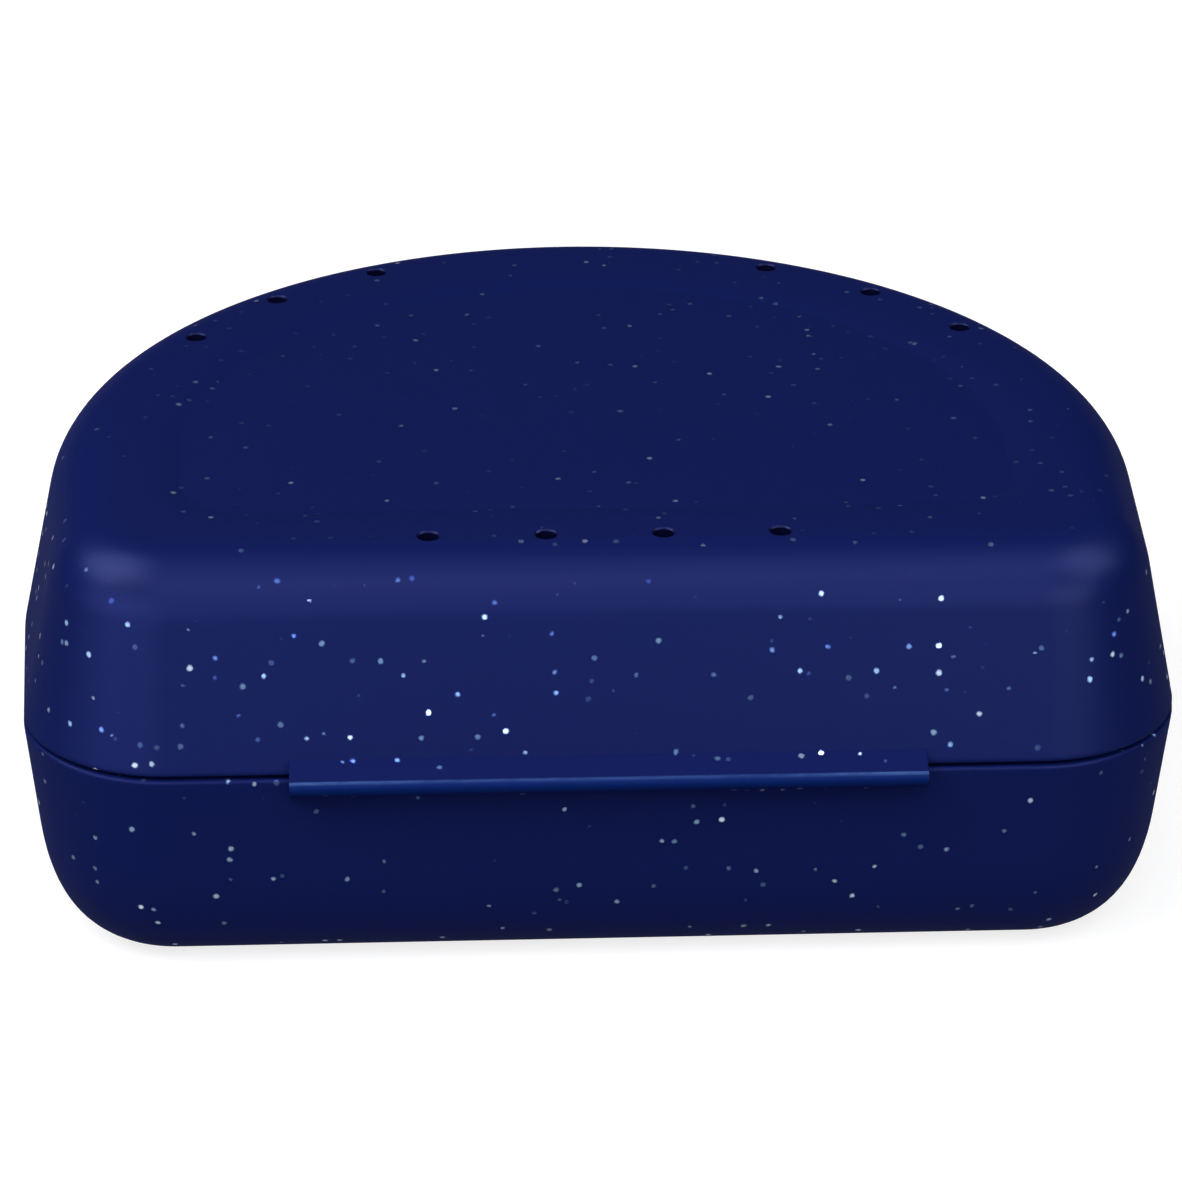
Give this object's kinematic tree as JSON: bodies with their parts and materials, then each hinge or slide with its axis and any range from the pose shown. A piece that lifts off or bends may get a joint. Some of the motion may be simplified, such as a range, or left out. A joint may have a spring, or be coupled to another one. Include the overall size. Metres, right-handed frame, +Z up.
{
  "type": "retainer case",
  "caption": "Vented half-moon clamshell case with a living hinge on its straight side, for a dental retainer, mouth guard or aligner.",
  "frame": {"origin": "centre of the closed case's bounding box, on the surface that its flat underside stands on", "axes": "+Z up; -Y towards the straight, hinged wall; +Y towards the round side that opens; +X along the hinge"},
  "size_m": [0.0858, 0.074, 0.0325],
  "materials": {
    "shell": "navy polypropylene with silver and blue glitter flakes, moulded semi-gloss",
    "hinge_web": "the same navy polypropylene, thin and flexed, a little lighter along the fold"
  },
  "bodies": {
    "base": {"base_shell": "shell", "hinge_web": "hinge_web"},
    "lid": {"lid_shell": "shell"}
  },
  "joints": [
    {"name": "lid_hinge", "type": "hinge", "parent": "base", "child": "lid", "pos_m": [0, -0.03706, 0.0172], "axis": [1, 0, 0], "range_deg": [0, 180], "deforming": ["hinge_web"]}
  ]
}
